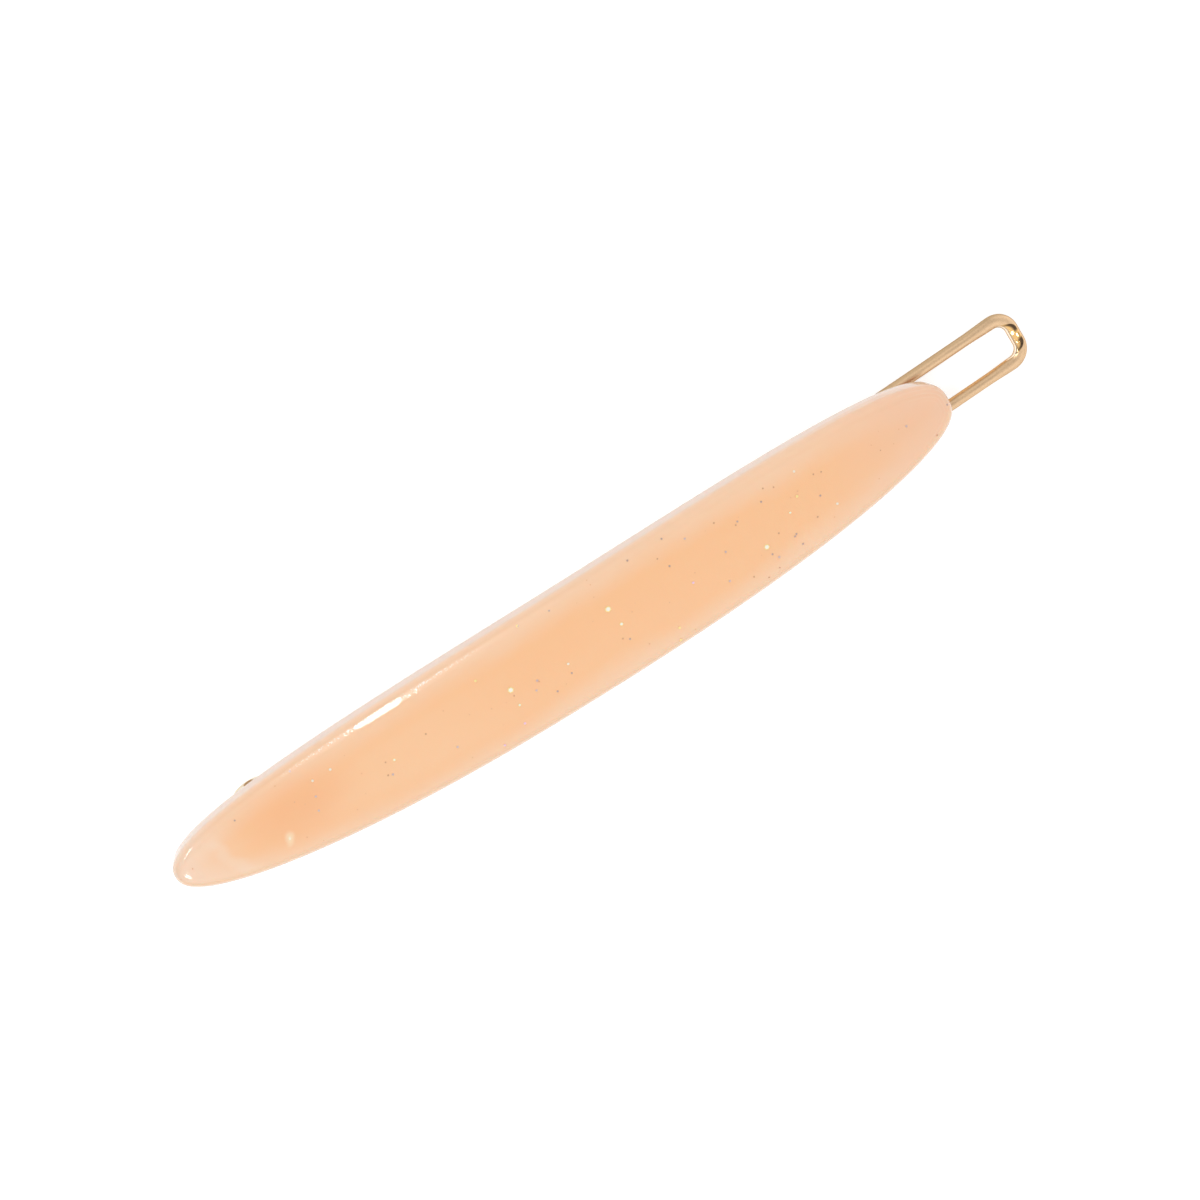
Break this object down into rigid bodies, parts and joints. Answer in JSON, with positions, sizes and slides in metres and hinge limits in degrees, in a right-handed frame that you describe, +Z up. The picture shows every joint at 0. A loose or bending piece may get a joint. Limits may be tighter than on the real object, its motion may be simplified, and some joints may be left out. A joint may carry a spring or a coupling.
{
  "type": "hairpin",
  "caption": "Hair clip: a long arched bar of glossy peach glitter resin on a metal plate, with a sprung wire loop hinged under it whose closed end stands out as a finger tab.",
  "frame": {"origin": "middle of the closed part's box, at the height of the lowest point, under the loop's closed end", "axes": "+X along the bar towards the loop's closed end, +Y across the bar, +Z up through the bar's domed face"},
  "size_m": [0.098, 0.0116, 0.0107],
  "materials": {
    "peach_resin": "polished, cloudy, with fine glitter",
    "clear_glue": "clear, set",
    "gold_plate": "gold plated, brushed",
    "gold_wire": "gold plated, satin legs and polished end"
  },
  "bodies": {
    "bar": {"resin_bar": "peach_resin", "glue_bed": "clear_glue", "base_plate": "gold_plate"},
    "loop": {"wire_loop": "gold_wire"}
  },
  "joints": [
    {"name": "loop_hinge", "type": "hinge", "parent": "bar", "child": "loop", "pos_m": [-0.03817, 0, 0.00346], "axis": [0, 1, 0], "range_deg": [0, 75], "stiffness_Nm_per_rad": 0.04, "springref_deg": -17.19}
  ]
}
